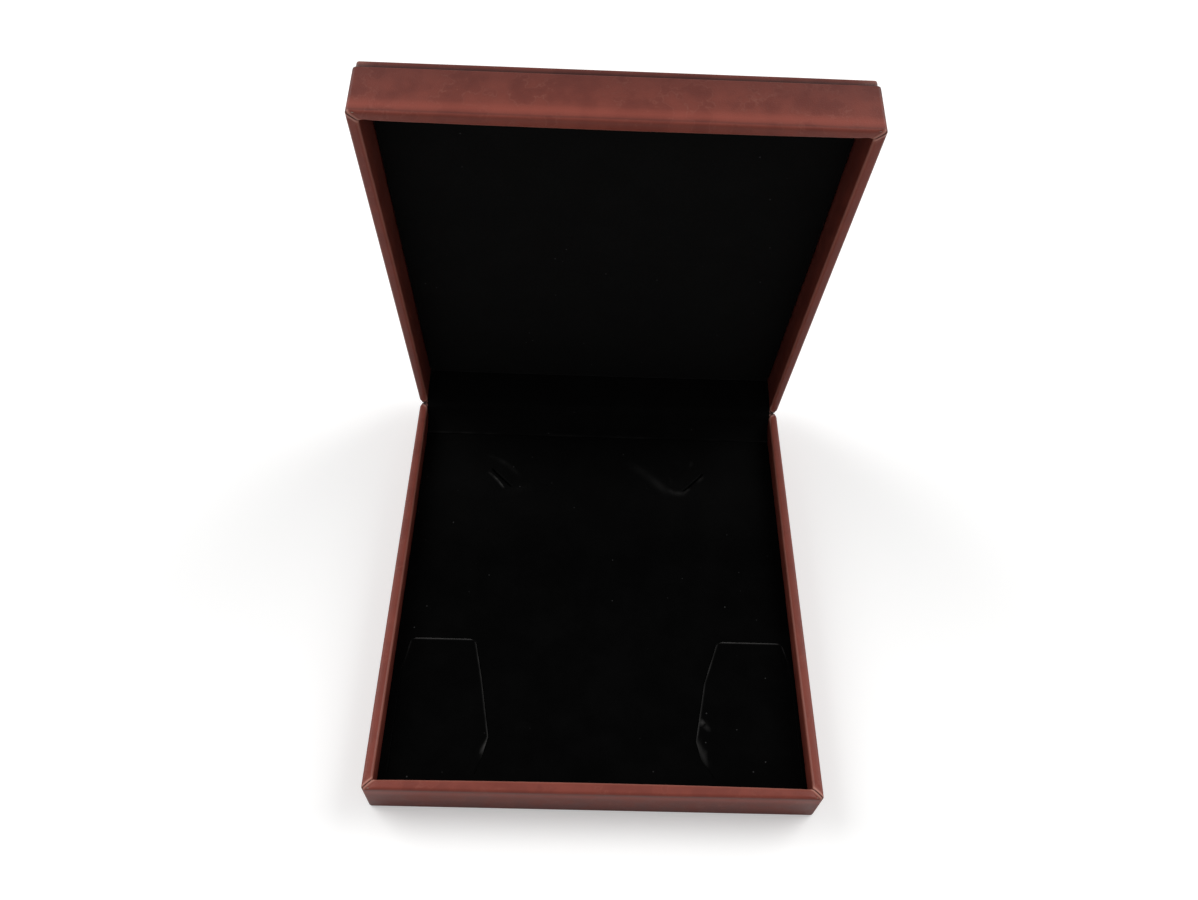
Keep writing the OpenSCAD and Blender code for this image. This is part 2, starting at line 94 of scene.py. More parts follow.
# %% [markdown]
# ## Tools for modelling
#
# The pieces are modelled with Blender's own operators, as by hand: start from a primitive, go into edit mode,
# select by place or by normal, then bevel, extrude, cut or move. These few helpers keep that short. One of
# them, reshape(), moves points by a rule, which is how a soft material gets its small swells and dents.

# %% Modelling helpers
@contextmanager
def editing(piece, mode="FACE"):
    """Edit mode on one piece, with all of it selected."""
    bpy.ops.object.select_all(action="DESELECT")
    piece.select_set(True)
    bpy.context.view_layer.objects.active = piece
    bpy.ops.object.mode_set(mode="EDIT")
    bpy.ops.mesh.select_mode(type=mode)
    bpy.ops.mesh.select_all(action="SELECT")
    yield
    bpy.ops.object.mode_set(mode="OBJECT")


def pick(piece, wanted):
    """Selects what wanted(middle in mm, way) accepts. The way is a face's normal or an edge's run."""
    bpy.ops.mesh.select_all(action="DESELECT")
    mesh = bmesh.from_edit_mesh(piece.data)
    if "FACE" in mesh.select_mode:
        found = [(f, f.calc_center_median(), f.normal) for f in mesh.faces]
    else:
        found = [(e, (e.verts[0].co + e.verts[1].co) / 2, (e.verts[1].co - e.verts[0].co).normalized())
                 for e in mesh.edges]
    for thing, middle, way in found:
        if wanted(middle / MM, way):
            thing.select_set(True)
    mesh.select_flush_mode()
    bmesh.update_edit_mesh(piece.data)


def pick_run(piece, y, z):
    """Selects the edges that run along x at this y and z, in mm."""
    pick(piece, lambda p, d: abs(d.x) > ALONG and abs(p.y - y) < NEAR and abs(p.z - z) < NEAR)


def cut(at, across, keep_front=False, fill=False):
    """Slices all of the piece in edit mode. With keep_front, what lies behind the plane is taken away."""
    bpy.ops.mesh.select_all(action="SELECT")
    bpy.ops.mesh.bisect(plane_co=Vector(at) * MM, plane_no=across, threshold=1e-7,
                        clear_inner=keep_front, use_fill=fill)


def slice_up(at_x, at_y=()):
    """Slices all of the piece in edit mode across each x and then across each y, in mm."""
    for x in at_x:
        cut((x, 0, 0), (1, 0, 0))
    for y in at_y:
        cut((0, y, 0), (0, 1, 0))


def block(name, low, high):
    """A cube from its lowest to its highest corner, in mm: only ever the start of a piece."""
    bpy.ops.object.select_all(action="DESELECT")
    low, high = Vector(low) * MM, Vector(high) * MM
    bpy.ops.mesh.primitive_cube_add(size=1, location=(low + high) / 2, scale=high - low)
    piece = bpy.context.object
    piece.name = piece.data.name = name
    bpy.ops.object.transform_apply(location=True, rotation=True, scale=True)
    return piece


def finish_with(piece, kind, **settings):
    """Adds a modifier and applies it."""
    bpy.ops.object.select_all(action="DESELECT")
    piece.select_set(True)
    bpy.context.view_layer.objects.active = piece
    modifier = piece.modifiers.new(kind.lower(), kind)
    for key, value in settings.items():
        setattr(modifier, key, value)
    bpy.ops.object.modifier_apply(modifier=modifier.name)


def carve(piece, tool):
    """Takes the tool's shape out of the piece and throws the tool away."""
    finish_with(piece, "BOOLEAN", operation="DIFFERENCE", solver="EXACT", object=tool)
    bpy.data.objects.remove(tool)


def points_of(piece):
    """The places of all points, in mm, one row each."""
    points = np.empty(len(piece.data.vertices) * 3)
    piece.data.vertices.foreach_get("co", points)
    return points.reshape(-1, 3) / MM


def reshape(piece, rule):
    """Moves points by a rule on an array of their places in mm."""
    piece.data.vertices.foreach_set("co", (rule(points_of(piece)) * MM).ravel())
    piece.data.update()


def mark(piece, name, values):
    """Stores a value from 0 to 1 at each point, for a material to read."""
    stored = piece.data.attributes.new(name, "FLOAT", "POINT")
    stored.data.foreach_set("value", np.clip(values, 0, 1).astype(np.float32))


def copy_of(piece, name):
    twin = piece.copy()
    twin.data = piece.data.copy()
    twin.name = twin.data.name = name
    bpy.context.scene.collection.objects.link(twin)
    return twin


def soften(piece, angle=40):
    """Smooth shading, except across sharp edges."""
    bpy.ops.object.select_all(action="DESELECT")
    piece.select_set(True)
    bpy.context.view_layer.objects.active = piece
    bpy.ops.object.shade_smooth_by_angle(angle=math.radians(angle))
    return piece


def ease(x):
    """0 below 0, 1 above 1 and smooth between them."""
    x = np.clip(x, 0, 1)
    return x * x * (3 - 2 * x)


def bell(distance, width):
    """1 where the distance is 0, falling off smoothly over about this width."""
    return np.exp(-(distance / width) ** 2)


def waves(points, size, seed):
    """Smooth noise from about -1 to 1 over points in mm, with bumps of about this size."""
    shift = Vector((seed * 13.7, seed * 7.1, seed * 3.3))
    return np.array([noise.noise(Vector(p) / size + shift) for p in points])


print("helpers ready")

# %% [markdown]
# ## Where the lid is
#
# The lid is modelled lying like the base, rim up, because it is the same frame made again. This one transform
# mirrors it and swings it round the hinge's axis to where it stands open. Mirroring turns a mesh inside out,
# so its faces are flipped back.

# %% The open lid's place
in_lid = (Matrix.Translation(Vector((0, hinge_y, hinge_z)) * MM)
          @ Matrix.Rotation(math.radians(-lid_open), 4, "X")
          @ Matrix.Translation(Vector((0, -hinge_y, 2 * frame_h + rim_gap - hinge_z)) * MM)
          @ Matrix.Scale(-1, 4, (0, 0, 1)))


def put_in_lid(piece):
    piece.data.transform(in_lid)
    with editing(piece):
        bpy.ops.mesh.flip_normals()
    return piece


def opened(y, over_rim):
    """Where a point of the closed lid goes: y, and its height over the lid's rim, in mm."""
    dy, dz, turn = y - hinge_y, over_rim + rim_gap / 2, math.radians(lid_open)
    return (hinge_y + dy * math.cos(turn) + dz * math.sin(turn),
            hinge_z - dy * math.sin(turn) + dz * math.cos(turn))


print("top edge of the open lid, mm:", [round(x, 1) for x in opened(-100, 0)])

# %% [markdown]
# ## Tools for finishes
#
# A finish is a node tree, and its maths reads best as plain formulas. Socket wraps one output and turns
# +, - and * into Math nodes. Everything else goes through one method, add(), which takes a node's type, its
# settings and its inputs.

# %% Finish helpers
class Socket:
    """One value in a finish."""

    def __init__(self, finish, out):
        self.finish, self.out = finish, out

    def maths(self, operation, a, b):
        return self.finish.add("ShaderNodeMath", {"operation": operation}, {0: a, 1: b})

    def __add__(self, other):
        return self.maths("ADD", self, other)

    def __sub__(self, other):
        return self.maths("SUBTRACT", self, other)

    def __rsub__(self, other):
        return self.maths("SUBTRACT", other, self)

    def __mul__(self, other):
        return self.maths("MULTIPLY", self, other)

    __radd__ = __add__
    __rmul__ = __mul__


class Finish:
    """A material, with its shader's constants set on its own sockets."""

    def __init__(self, name, colour, **constants):
        self.material = bpy.data.materials.new(name)
        self.material.use_nodes = True
        self.material.diffuse_color = (*colour, 1)
        self.tree = self.material.node_tree
        self.shader = self.tree.nodes["Principled BSDF"]
        for socket, value in constants.items():
            self.shader.inputs[socket.replace("_", " ")].default_value = value

    def add(self, kind, settings=None, inputs=None, output=0):
        node = self.tree.nodes.new(kind)
        for key, value in (settings or {}).items():
            if key == "stops":
                while len(node.color_ramp.elements) < len(value):
                    node.color_ramp.elements.new(0.5)
                for element, (place, colour) in zip(node.color_ramp.elements, value):
                    element.position, element.color = place, colour
            else:
                setattr(node, key, value)
        for key, value in (inputs or {}).items():
            if isinstance(value, Socket):
                self.tree.links.new(value.out, node.inputs[key])
            else:
                node.inputs[key].default_value = value
        return Socket(self, node.outputs[output])

    def place(self):
        return self.add("ShaderNodeTexCoord", output="Object")

    def noise(self, size, detail=2.0, rough=0.5):
        """Noise from 0 to 1 whose bumps are about size mm across."""
        return self.add("ShaderNodeTexNoise", None, {
            "Vector": self.place(), "Scale": 1 / (size * MM), "Detail": detail, "Roughness": rough})

    def pebbles(self, size):
        """Distance to the nearest pebble's middle, for a grain of about size mm."""
        return self.add("ShaderNodeTexVoronoi", None, {
            "Vector": self.place(), "Scale": 1 / (size * MM)})

    def thin_line(self, size, detail):
        """Distance of a noise from its middle value, which is 0 along wandering lines."""
        return self.add("ShaderNodeMath", {"operation": "ABSOLUTE"}, {0: self.noise(size, detail, 0.6) - 0.5})

    def limit(self, value, low, high, to_low=0.0, to_high=1.0):
        """Eases a value from to_low, at low and below, to to_high, at high and above."""
        return self.add("ShaderNodeMapRange", {"interpolation_type": "SMOOTHSTEP"}, {
            "Value": value, "From Min": low, "From Max": high, "To Min": to_low, "To Max": to_high})

    def marked(self, name):
        """The value that mark() stored under this name."""
        return self.add("ShaderNodeAttribute", {"attribute_name": name}, output="Fac")

    def mix(self, share, a, b):
        """A colour between a and b."""
        a, b = [(*colour, 1) if isinstance(colour, tuple) else colour for colour in (a, b)]
        return self.add("ShaderNodeMix", {"data_type": "RGBA"}, {0: share, 6: a, 7: b}, output=2)

    def feed(self, socket, value):
        self.tree.links.new(value.out, self.shader.inputs[socket])

    def bump(self, height, distance, strength):
        """Turns a height from 0 to 1 into relief of up to distance mm."""
        self.feed("Normal", self.add("ShaderNodeBump", None, {
            "Height": height, "Distance": distance * MM, "Strength": strength}, output="Normal"))


def srgb(red, green, blue):
    """A colour as read off a screen, 0 to 255, in the linear values that a shader takes."""
    return tuple(x / 12.92 if x <= 0.04045 else ((x + 0.055) / 1.055) ** 2.4
                 for x in (red / 255, green / 255, blue / 255))


print("finish helpers ready")

# %% [markdown]
# ## Leatherette
#
# The wrap is paper-backed red-brown leatherette with a very fine grain, slightly mottled, with a few pale
# hairline scuffs. It is redder and lighter in a band just below the rim and on the rim, paler where it is
# rubbed along the mitres' raised lips, and dark in the mitres' seams. A painted highlight runs along the rims'
# inner edges, and painted shade darkens the line under the rims' outer edges, the pinch where the two rims
# meet at the hinge side, the walls towards their foot and the inside as it goes down. These marks follow the
# shape, so the pieces carry them as values at their points, and the finish only reads them.

# %% Leatherette finish
leather = Finish("leatherette", (0.18, 0.05, 0.035), Roughness=0.42, Specular_IOR_Level=0.27)
mottle = leather.noise(9, 3, 0.55)
grain = leather.pebbles(0.55)
fine = leather.noise(0.35, 2, 0.6)
scuff = leather.limit(leather.noise(14, 4, 0.7), 0.6, 0.72)
streak = leather.limit(leather.thin_line(9, 3), 0.0, 0.02, 1.0, 0.0) * leather.limit(
    leather.noise(16, 2), 0.42, 0.62)
tone = leather.mix(leather.limit(mottle, 0.3, 0.7), srgb(105, 48, 39), srgb(123, 58, 46))
tone = leather.mix(fine * 0.3, tone, srgb(87, 35, 28))
tone = leather.mix(scuff * 0.16, tone, srgb(146, 92, 80))
tone = leather.mix(streak * 0.14, tone, srgb(168, 116, 100))
# redder and lighter in a band just below the rim and on the rim
tone = leather.mix(leather.marked("stretched") * 0.5, tone, srgb(152, 74, 60))
# painted shade: darker towards the walls' foot, down inside the frame, and over the whole cover
tone = leather.mix(leather.marked("shaded") * 0.6, tone, srgb(74, 32, 27))
# paler where rubbed on the mitres' lips and the cover's corners, and a painted highlight along the rims' inner
# edges
tone = leather.mix(leather.marked("worn") * 0.8, tone, srgb(188, 132, 118))
# dark in the mitres' seams, and painted shade under the rims' outer edges, in the pinch between the rims and in
# the groove round the cover
tone = leather.mix(leather.marked("fold"), tone, srgb(30, 9, 7))
leather.feed("Base Color", tone)
leather.feed("Roughness", leather.limit(mottle, 0.2, 0.8, 0.36, 0.48))
leather.bump(grain * 0.6 + fine * 0.4 + mottle * 0.8, 0.10, 0.6)
print("leatherette nodes:", len(leather.tree.nodes))

# %% [markdown]
# ## Velvet
#
# Black velvet swallows light. Only where the pile is brushed or bent, as at a cut edge or a fold, does it
# catch some. So the colour is almost black and the nap changes it a little in soft patches. The light that
# bent pile catches is painted on: the pieces mark a painted sheen along their cut edges, on crease ridges and
# curls, and as a faint lift over the rear of the pad, the hinge strip and the lid pad.

# %% Velvet finish
velvet = Finish("black_velvet", (0.002, 0.002, 0.002), Roughness=0.95, Specular_IOR_Level=0.03,
                Sheen_Weight=0.03, Sheen_Roughness=0.4)
nap = velvet.noise(16, 4, 0.6)
pile = velvet.noise(0.5, 2, 0.7)
lint = velvet.limit(velvet.pebbles(7), 0.02, 0.06, 1.0, 0.0) * velvet.limit(velvet.noise(25), 0.45, 0.5)
dark = velvet.mix(velvet.limit(nap, 0.3, 0.75), srgb(2, 2, 2), srgb(5, 5, 5))
dark = velvet.mix(pile * 0.4, dark, srgb(1, 1, 1))
dark = velvet.mix(lint * 0.8, dark, srgb(60, 60, 60))
# painted sheen where the pieces mark bent pile
dark = velvet.mix(velvet.marked("ruffled"), dark, srgb(96, 95, 94))
velvet.feed("Base Color", dark)
velvet.bump(pile + nap * 0.5, 0.12, 0.5)
print("velvet nodes:", len(velvet.tree.nodes))

# %% [markdown]
# ## Boards, foam, cloth and metal
#
# Most of this is out of sight behind the wrap and the velvet, but it is there when the box is looked at from
# below or taken apart: grey board with flecks, black card, grey foam with pores, flocked sole cloth, and
# small nickel-plated hinges. The card is black, so that its cut edges don't show in the slits.

# %% Other finishes
board = Finish("grey_board", (0.3, 0.27, 0.23), Roughness=0.9)
fleck = board.limit(board.noise(0.7, 2, 0.7), 0.58, 0.7)
board.feed("Base Color", board.mix(fleck * 0.6, srgb(150, 142, 130), srgb(112, 102, 92)))
board.bump(board.noise(0.4, 3, 0.7), 0.05, 0.6)

card = Finish("black_card", (0.006, 0.006, 0.006), Roughness=0.9, Specular_IOR_Level=0.1)
card.feed("Base Color", card.mix(card.noise(0.5, 2, 0.7), srgb(12, 12, 12), srgb(22, 21, 20)))
card.bump(card.noise(0.4, 2, 0.6), 0.03, 0.5)

foam = Finish("foam", (0.05, 0.05, 0.055), Roughness=0.95)
pore = foam.pebbles(0.6)
foam.feed("Base Color", foam.mix(foam.limit(pore, 0.2, 0.6), srgb(40, 40, 43), srgb(72, 72, 76)))
foam.bump(pore, 0.2, 0.8)

sole_cloth = Finish("sole_cloth", (0.01, 0.01, 0.011), Roughness=0.95, Sheen_Weight=0.1)
flock = sole_cloth.noise(0.6, 3, 0.7)
sole_cloth.feed("Base Color", sole_cloth.mix(flock, srgb(14, 14, 15), srgb(38, 37, 38)))
sole_cloth.bump(flock, 0.15, 0.6)

metal = Finish("nickel_plate", (0.6, 0.57, 0.5), Metallic=1.0, Roughness=0.32)
tarnish = metal.noise(3, 3, 0.6)
metal.feed("Base Color", metal.mix(metal.limit(tarnish, 0.45, 0.75),
                                   srgb(206, 200, 186), srgb(150, 140, 120)))
metal.feed("Roughness", metal.limit(tarnish, 0.3, 0.8, 0.25, 0.45))
metal.bump(metal.noise(0.25, 2, 0.6), 0.01, 0.4)


def coat(piece, finish):
    """Gives a piece one finish all over."""
    piece.data.materials.clear()
    piece.data.materials.append(finish.material)


for name, node in nodes.items():
    if name.endswith(("_leaf", "_pin", "_spring", "_tacks")):
        coat(node, metal)
    elif name == "lid_pad_foam":
        coat(node, foam)
    elif name.endswith(("_card", "_riser", "_bottom_board")):
        coat(node, card)
    elif name.endswith(("_wall", "_board")):
        coat(node, board)
print("finishes:", [m.name for m in bpy.data.materials])

# %% [markdown]
# ## One side of a wrapped frame
#
# A wrap is one strip of leatherette: folded under the frame, up the outside, over the rim and 19 mm down
# inside, with a mitre at either end. A cube of the side's size becomes that strip when its ends and underside
# are taken off, its rim is bevelled, and its lower edge is folded in. Cuts across it, and along the mitres,
# give it the points that the later shaping needs. Along the hinge side the rim's outer edge is one flat
# bevel, which lets the two rims roll on each other when the lid opens.

# %% A strip for one side
mitre_gap = 0.02                # mm by which a strip stays short of its mitre


def strip(name, run, reach, hinged=False):
    """The strip for the front: run is its length and reach how far out it stands, both in mm."""
    front, back, top = -reach, rim_w - reach, frame_h
    piece = block(name, (-run / 2, front, 0), (run / 2, back, top))
    with editing(piece):
        pick(piece, lambda p, n: abs(n.x) > ALONG or n.z < -ALONG)
        bpy.ops.mesh.delete(type="FACE")
    with editing(piece, "EDGE"):
        pick_run(piece, front, top)
        if hinged:
            bpy.ops.mesh.bevel(offset=back_bevel * MM, offset_type="OFFSET", segments=1)
        else:
            bpy.ops.mesh.bevel(offset=rim_r * MM, offset_type="OFFSET", segments=6)
        pick_run(piece, back, top)
        bpy.ops.mesh.bevel(offset=rim_r * MM, offset_type="OFFSET", segments=6)
        pick_run(piece, back, 0)
        bpy.ops.transform.translate(value=(0, 0, (top - turn_in) * MM))
        pick_run(piece, front, 0)
        bpy.ops.mesh.extrude_region_move(TRANSFORM_OT_translate={"value": (0, lip_w * MM, 0)})
        pick_run(piece, front, 0)
        bpy.ops.mesh.bevel(offset=foot_r * MM, offset_type="OFFSET", segments=4)
    across = np.linspace(-run / 2, run / 2, 61)[1:-1]
    gaps = (0.4, 0.8, 1.3, 1.6, 1.9, 2.2, 2.6, 3.2, 3.8, 4.5)
    near_ends = [end * (run / 2 - gap) for end in (-1, 1) for gap in gaps]
    with editing(piece):
        slice_up([*across, *near_ends])
        for drop in (1.6, 2.1, 2.8, 4, 5.5, 7, 9, 12, 15, 18, 20):
            cut((0, 0, top - drop), (0, 0, 1))
        for end in (-1, 1):
            corner, inward = Vector((end * run / 2, front, 0)), Vector((-end, -1, 0)).normalized()
            for off in (0.25, 0.5, 0.8, 1.2):
                cut(corner + inward * off, inward)
            cut(corner + inward * mitre_gap, inward, keep_front=True)
    return piece


print("one strip:", len(strip("trial_strip", box_w, box_d / 2).data.polygons), "faces")
bpy.data.objects.remove(bpy.data.objects["trial_strip"])

# %% [markdown]
# ## Shaping a strip
#
# The glued leatherette isn't as crisp as the board. It rounds the corners, it stands a little proud of the
# rim's inner edge halfway along each side, and the folded mitres are a little raised. After the shaping a
# Solidify modifier gives the strip its half millimetre, inwards onto the board.

# %% Shape a strip and mark its wear and painted light
welt_h, welt_w = 0.12, 0.35     # the small ridge that a fold or the back bevel's edge raises
bevel_reach = 2.7               # how far in from the outside the back bevel is shaped
pinch_w = 1.2                   # how wide the dark line is where the two rims meet at the hinge side
# the dark line where the two rims meet is painted shade
far_off = 99.0                  # stands for a strip that doesn't reach the hinge side


def shape_strip(piece, run, reach, corner_rs, fullness, lip, low_end=None, hinged=False):
    """Marks a strip's wear, seams, painted highlight and painted shade, and shapes it. low_end is the end of a
    side strip that meets the hinge side.
    """
    def inward(p):
        return p[:, 1] + reach

    def rounded(p):
        p, s = p.copy(), inward(p)
        for end, r in zip((-1, 1), corner_rs):
            u = run / 2 - end * p[:, 0]
            near = (s < min(r, rim_w) - 0.001) & (u < r)        # and not the middle of the round itself
            turn = np.radians(45) * np.clip((r - u[near]) / (r - s[near]), 0, 1)
            p[near, 0] = end * (run / 2 - r + (r - s[near]) * np.sin(turn))
            p[near, 1] = -reach + r - (r - s[near]) * np.cos(turn)
        return p

    def from_mitre(p):
        return (run / 2 - np.abs(p[:, 0]) - inward(p)) / math.sqrt(2)

    def swollen(p):
        p, s = p.copy(), inward(p)
        if hinged:
            bevel = (p[:, 2] > frame_h - back_bevel - NEAR) & (s < bevel_reach)
            deep = np.clip(p[bevel, 2] - frame_h + back_bevel, 0, rim_r)
            edge = frame_h - rim_r + np.sqrt(rim_r ** 2 - (rim_r - deep) ** 2)
            p[bevel, 2] = np.minimum(frame_h - np.maximum(back_bevel - s[bevel], 0), edge)
        bow = fullness * (1 - (2 * p[:, 0] / run) ** 2) * ease((p[:, 2] - frame_h + 9) / 6)
        p[:, 1] += bow * ease((s - rim_r) / (rim_w - rim_r)) * (s < rim_w + NEAR)
        crest = bell(from_mitre(p) - 0.55, 0.4)
        groove = bell(from_mitre(p) - 1.5, 0.6) + bell(from_mitre(p), 0.2)
        wander = 0.08 * waves(p, 18, 5) * ease(from_mitre(p) / 6)
        relief = welt_h * crest - lip * groove + wander - 0.04
        p[:, 2] += np.minimum(relief, welt_h) * ease((p[:, 2] - frame_h + 1.4) / 1.2)
        if low_end is not None:
            u = run / 2 - low_end * p[:, 0]
            roof = frame_h - np.maximum(back_bevel - u, 0)
            welt = welt_h * bell(u - back_bevel, welt_w)
            p[:, 2] = np.minimum(p[:, 2] + welt * (p[:, 2] > frame_h - 0.5), roof + welt)
        if hinged:
            welt = bell(s - back_bevel, welt_w) * (p[:, 2] > frame_h - 0.9)
            p[:, 2] += welt * (frame_h + welt_h - p[:, 2])
        return p

    at = points_of(piece)
    s, over_rim = inward(at), at[:, 2] - frame_h
    from_hinge = np.full(len(at), far_off)
    if hinged:
        from_hinge = np.maximum(s - pinch_w, 0)
    elif low_end is not None:
        from_hinge = np.maximum(run / 2 - low_end * at[:, 0] - pinch_w, 0)
    crest, outside = bell(from_mitre(at) - 0.6, 0.4), bell(s, 0.8)
    upper = ease((over_rim + 2) / 1.5)
    # a painted highlight along the rim's inner edge, stronger near the hinge side
    inner_edge_highlight = bell(s - rim_w + 0.25, 0.4) * ease((over_rim + 1.6) / 0.8)
    # painted shade, darker the deeper down inside the frame
    shade_inside = ease((s - 3) / 0.8) * ease((frame_h - 1 - at[:, 2]) / 11)
    # the mitres' raised lips are rubbed paler; along the inner edge it is a painted highlight
    mark(piece, "worn", crest * upper + inner_edge_highlight * (0.4 + 0.5 * bell(from_hinge - 4.5, 2.5)))
    # the dark mitre seam, and painted shade just under the rim's outer edge and in the pinch at the hinge side
    mark(piece, "fold", np.clip(1 - from_mitre(at) / 0.3, 0, 1) * upper
         + 0.35 * outside * bell(over_rim + 1.5 + 0.3 * waves(at, 12, 23), 0.45)
         + 0.75 * upper * bell(from_hinge, 1.5))
    # redder and lighter in a band below the rim's outer edge and on the rim
    mark(piece, "stretched", outside * bell(over_rim + 4.2, 2.2) + 0.5 * upper)
    # painted shade towards the wall's foot and down inside
    mark(piece, "shaded", outside * (1 - ease(at[:, 2] / 13)) * 0.7 + shade_inside)
    reshape(piece, rounded)
    reshape(piece, swollen)
    with editing(piece):
        bpy.ops.mesh.normals_make_consistent(inside=False)
    finish_with(piece, "SOLIDIFY", thickness=wrap_t * MM, offset=-1, use_even_offset=True)


sides = {
    "front": dict(run=box_w, reach=box_d / 2, rs=(front_corner_r, front_corner_r), full=0.7, lip=0.35),
    "right": dict(run=box_d, reach=box_w / 2, rs=(front_corner_r, back_corner_r), full=0.35, lip=0.2, low=1),
    "back": dict(run=box_w, reach=box_d / 2, rs=(back_corner_r, back_corner_r), full=0.0, lip=0.15),
    "left": dict(run=box_d, reach=box_w / 2, rs=(back_corner_r, front_corner_r), full=0.35, lip=0.2, low=-1),
}
wraps = {}
for turn, (side, s) in enumerate(sides.items()):
    piece = strip("base_" + side + "_leather", s["run"], s["reach"], hinged=side == "back")
    shape_strip(piece, s["run"], s["reach"], s["rs"], s["full"], s["lip"], s.get("low"), side == "back")
    piece.data.transform(Matrix.Rotation(turn * math.pi / 2, 4, "Z"))
    wraps[side] = piece
print("wraps:", {side: len(p.data.polygons) for side, p in wraps.items()})

# %% [markdown]
# ## Room for the hinges
#
# Behind, the leatherette is cut away where the two hinges sit: a round hollow for the knuckles and a slot for
# the leaf. The same cutters take it out, first a rod and then a slot for each hinge.

# %% Cut the hinge places out of the back wrap
hinge_x, knuckle_r, knuckle_run = 48, 1.9, 16.8
slot_half, slot_front, slot_back, slot_drop, slot_top = 8.15, 94, 96.95, 12.15, 26
for x in (-hinge_x, hinge_x):
    bpy.ops.object.select_all(action="DESELECT")
    bpy.ops.mesh.primitive_cylinder_add(vertices=48, radius=knuckle_r * MM, depth=knuckle_run * MM,
                                        location=Vector((x, hinge_y, hinge_z)) * MM,
                                        rotation=(0, math.pi / 2, 0))
    rod = bpy.context.object
    bpy.ops.object.transform_apply(location=True, rotation=True, scale=True)
    carve(wraps["back"], rod)
    carve(wraps["back"], block("slot", (x - slot_half, slot_front, hinge_z - slot_drop),
                               (x + slot_half, slot_back, slot_top)))

for side, piece in wraps.items():
    coat(soften(piece, 50), leather)
    twin = put_in_lid(copy_of(piece, "lid_" + side + "_leather"))
    coat(soften(twin, 50), leather)
    for body, dressed in (("base", piece), ("lid", twin)):
        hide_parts(body + "_" + side + "_wrap")
        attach(dressed, body)
print("back wrap has", len(wraps["back"].data.vertices), "points")

# %% [markdown]
# ## The lid's cover
#
# The lid's outside is a separate board wrapped in the same leatherette and glued on, set in a little from the
# frame. A block gets rounded corners and a soft edge all round, and its underside is opened, so that only the
# folded edge of the wrap is left there.

# %% Lid cover
groove_h = 0.75                 # the dark groove between the cover and the frame
cover = block("lid_cover_leather", (-cover_x, -cover_y, -cover_h), (cover_x, cover_y, 0))
with editing(cover, "EDGE"):
    pick(cover, lambda p, d: abs(d.z) > ALONG)
    bpy.ops.mesh.bevel(offset=1.2 * MM, offset_type="OFFSET", segments=6)
    pick(cover, lambda p, d: abs(d.z) < ACROSS and p.z < NEAR - cover_h)
    bpy.ops.mesh.bevel(offset=0.7 * MM, offset_type="OFFSET", segments=4)
    pick(cover, lambda p, d: abs(d.z) < ACROSS and abs(p.z) < NEAR)
    bpy.ops.mesh.bevel(offset=0.6 * MM, offset_type="OFFSET", segments=4)
with editing(cover):
    pick(cover, lambda p, n: n.z > 0.99)        # the flat face, and none of its bevel's
    bpy.ops.mesh.inset(thickness=lip_w * MM)
    bpy.ops.mesh.delete(type="FACE")
finish_with(cover, "SOLIDIFY", thickness=wrap_t * MM, offset=-1, use_even_offset=True)
with editing(cover):
    slice_up(np.arange(-84, 85, 8.0), np.arange(-92, 93, 8.0))
reshape(cover, lambda p: p + np.outer(0.12 * waves(p, 30, 2) * (p[:, 2] < 0.4 - cover_h), (0, 0, 1)))
at = points_of(cover)
mark(cover, "worn", 0.35 * ease(3 - cover_x + np.abs(at[:, 0])) * ease(3 - cover_y + np.abs(at[:, 1])))
# painted shade in the groove along the cover's edge
mark(cover, "fold", 0.75 * (at[:, 2] > -groove_h))
# painted shade over the whole cover
mark(cover, "shaded", np.full(len(at), 0.5))
put_in_lid(cover)
coat(soften(cover, 50), leather)
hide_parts("lid_cover_wrap")
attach(cover, "lid")
print("cover faces:", len(cover.data.polygons))

# %% [markdown]
# ## Earring tabs
#
# A tab is cut out of the pad with a knife, along straight strokes. So a block is cut the same way here, by
# one bisect for each stroke, and its two rear corners are rounded. The same function, with the outline grown
# by the width of the cut, makes the tool that opens the pad.

# %% The outline of a tab as knife strokes
pad_x, pad_front, pad_back = 88.2, -95.7, 86.2
pad_top, velvet_t = 12.6, 0.8
fold_y = -90.0
tab_inner, tab_outer, tab_run = 42, 88, 63      # the block that both tabs are cut from
rear_from, rear_r, cut_w = 59, 2.6, 0.3         # where the rear corners begin, their radius, a cut's width
# corners as the distance from the middle of the box and from the fold; the sixth is on the rear edge
tab_corners = {
    -1: [(84.5, 0), (49.1, 0), (46.3, 8), (44.5, 16), (49.3, 41.7), (53.5, 60.3), (82.2, 60.3), (84.5, 45.3)],
    1: [(86.4, 0), (50.4, 0), (45.0, 8), (43.2, 16), (48.0, 41.7), (54.9, 61.8), (84.1, 61.8), (86.4, 51.8)],
}
tab_rear = {side: corners[5][1] for side, corners in tab_corners.items()}


def strokes(side):
    """Each knife stroke round a tab: where it starts, and the way from it into the tab."""
    outline = [Vector((side * x, fold_y + y, 0)) for x, y in tab_corners[side]]
    middle = sum(outline, Vector()) / len(outline)
    for a, b in list(zip(outline, outline[1:] + outline[:1]))[1:]:
        inward = Vector((a.y - b.y, b.x - a.x, 0)).normalized()
        yield a, inward * (1 if inward.dot(middle - a) > 0 else -1)


def tab_block(name, side, grow, low, high):
    """One tab, for side 1 on the right or -1 on the left, with its cut edges moved out by grow."""
    left, right = sorted((side * tab_inner, side * tab_outer))
    piece = block(name, (left, fold_y, low), (right, fold_y + tab_run, high))
    with editing(piece):
        for start, inward in strokes(side):
            cut(start - inward * grow, inward, keep_front=True, fill=True)
    with editing(piece, "EDGE"):
        pick(piece, lambda p, d: abs(d.z) > ALONG and p.y > fold_y + rear_from)
        bpy.ops.mesh.bevel(offset=rear_r * MM, offset_type="OFFSET", segments=6)
    return piece


